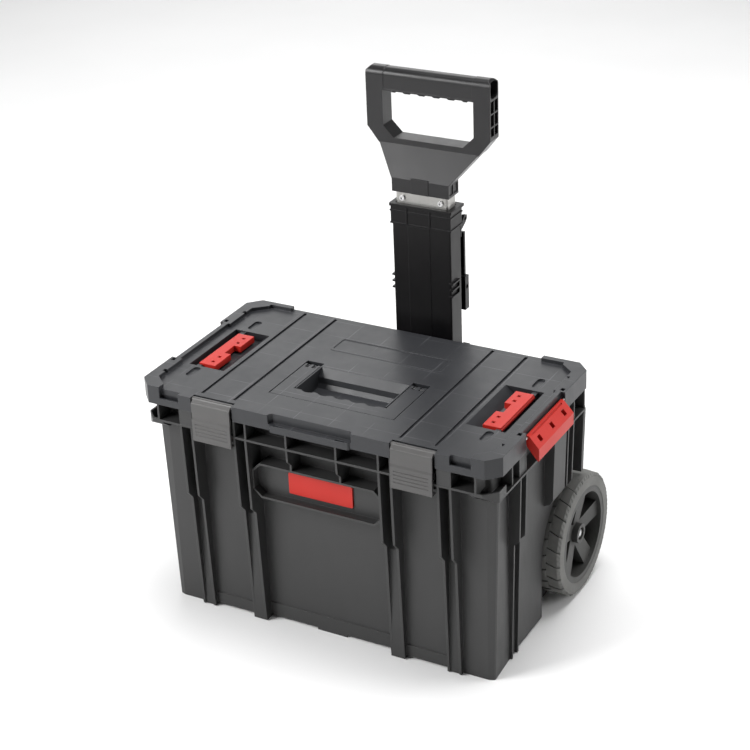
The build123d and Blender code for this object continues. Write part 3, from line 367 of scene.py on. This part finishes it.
# ---------------------------------------------------------------- stage
HORIZON = 0.92         # strength of the surroundings near the horizon
OVERHEAD = 0.16
DARK_SIDE = 0.25       # share of it left towards the front right
DARK_TOWARDS = (0.80, -0.60, 0.0)
CAMERA_PLACE = (1.12449, -1.95375, 1.47145)
CAMERA_ANGLES = (29.554, 26.694, -2.380)     # yaw, pitch and roll in degrees
CAMERA_LENS = 91.6
FLOOR_HALF = 30.0


def ground():
    """A wide pale floor."""
    mesh = bpy.data.meshes.new("floor")
    side = FLOOR_HALF
    corners = [(-side, -side, 0), (side, -side, 0), (side, side, 0), (-side, side, 0)]
    mesh.from_pydata(corners, [], [(0, 1, 2, 3)])
    obj = bpy.data.objects.new("floor", mesh)
    scene.collection.objects.link(obj)
    mat, tree, shader, coord = tree_of("floor_paint")
    base = mixed(tree, spread(tree, noise(tree, coord, 3.0, 2.0), 0.3, 0.7, 0, 1),
                 (0.93, 0.93, 0.93), (0.95, 0.95, 0.95))
    tree.links.new(base, shader.inputs["Base Color"])
    shader.inputs["Roughness"].default_value = 0.9
    mesh.materials.append(mat)


def area_light(name, place, target, size, power, colour=(1, 1, 1), size_y=None):
    light = bpy.data.lights.new(name, "AREA")
    light.shape = "RECTANGLE"
    light.size = size
    light.size_y = size_y or size
    light.energy = power
    light.color = colour
    obj = bpy.data.objects.new(name, light)
    obj.location = place
    aim = Vector(target) - Vector(place)
    obj.rotation_mode = "QUATERNION"
    obj.rotation_quaternion = aim.to_track_quat("-Z", "Y")
    scene.collection.objects.link(obj)
    return obj


def studio():
    """Pale surroundings near the horizon, dim overhead, and four softboxes."""
    world = bpy.data.worlds.new("studio")
    scene.world = world
    world.use_nodes = True
    tree = world.node_tree
    background = tree.nodes["Background"]
    coord = tree.nodes.new("ShaderNodeTexCoord")
    split = tree.nodes.new("ShaderNodeSeparateXYZ")
    tree.links.new(coord.outputs["Generated"], split.inputs[0])
    height = spread(tree, split.outputs[2], 0.14, 0.34, HORIZON, OVERHEAD, "SMOOTHSTEP")
    background.inputs["Color"].default_value = (1.0, 1.0, 1.0, 1)
    # the room is darker towards the front right
    away = tree.nodes.new("ShaderNodeVectorMath")
    away.operation = "DOT_PRODUCT"
    away.inputs[1].default_value = DARK_TOWARDS
    tree.links.new(coord.outputs["Generated"], away.inputs[0])
    shade = spread(tree, away.outputs["Value"], 0.35, 0.90, 1.0, DARK_SIDE, "SMOOTHSTEP")
    tree.links.new(math_node(tree, "MULTIPLY", height, shade), background.inputs["Strength"])
    area_light("back_softbox", (-1.7, 3.0, 2.0), (0, 0, 0.2), 2.2, 24)
    area_light("top_softbox", (0.3, 0.5, 3.4), (0, 0, 0.2), 2.0, 95)
    area_light("front_left_softbox", (-2.0, -2.0, 2.0), (0, 0, 0.2), 1.6, 105)
    area_light("right_softbox", (2.7, 1.5, 1.0), (0.2, 0, 0.2), 1.4, 45)
    scene.view_settings.view_transform = "Standard"
    scene.view_settings.look = "None"


def camera():
    """The view from the front right, slightly above, a touch rolled."""
    yaw, pitch, roll = (math.radians(a) for a in CAMERA_ANGLES)
    look = Vector((-math.sin(yaw) * math.cos(pitch), math.cos(yaw) * math.cos(pitch),
                   -math.sin(pitch)))
    level = Vector((math.cos(yaw), math.sin(yaw), 0))
    above = level.cross(look)
    right = math.cos(roll) * level + math.sin(roll) * above
    up = -math.sin(roll) * level + math.cos(roll) * above
    data = bpy.data.cameras.new("camera")
    data.lens = CAMERA_LENS
    data.sensor_width = 36
    obj = bpy.data.objects.new("camera", data)
    turn = Matrix((right, up, -look)).transposed().to_4x4()
    obj.matrix_world = Matrix.Translation(CAMERA_PLACE) @ turn
    scene.collection.objects.link(obj)
    scene.camera = obj


ground()
studio()
camera()
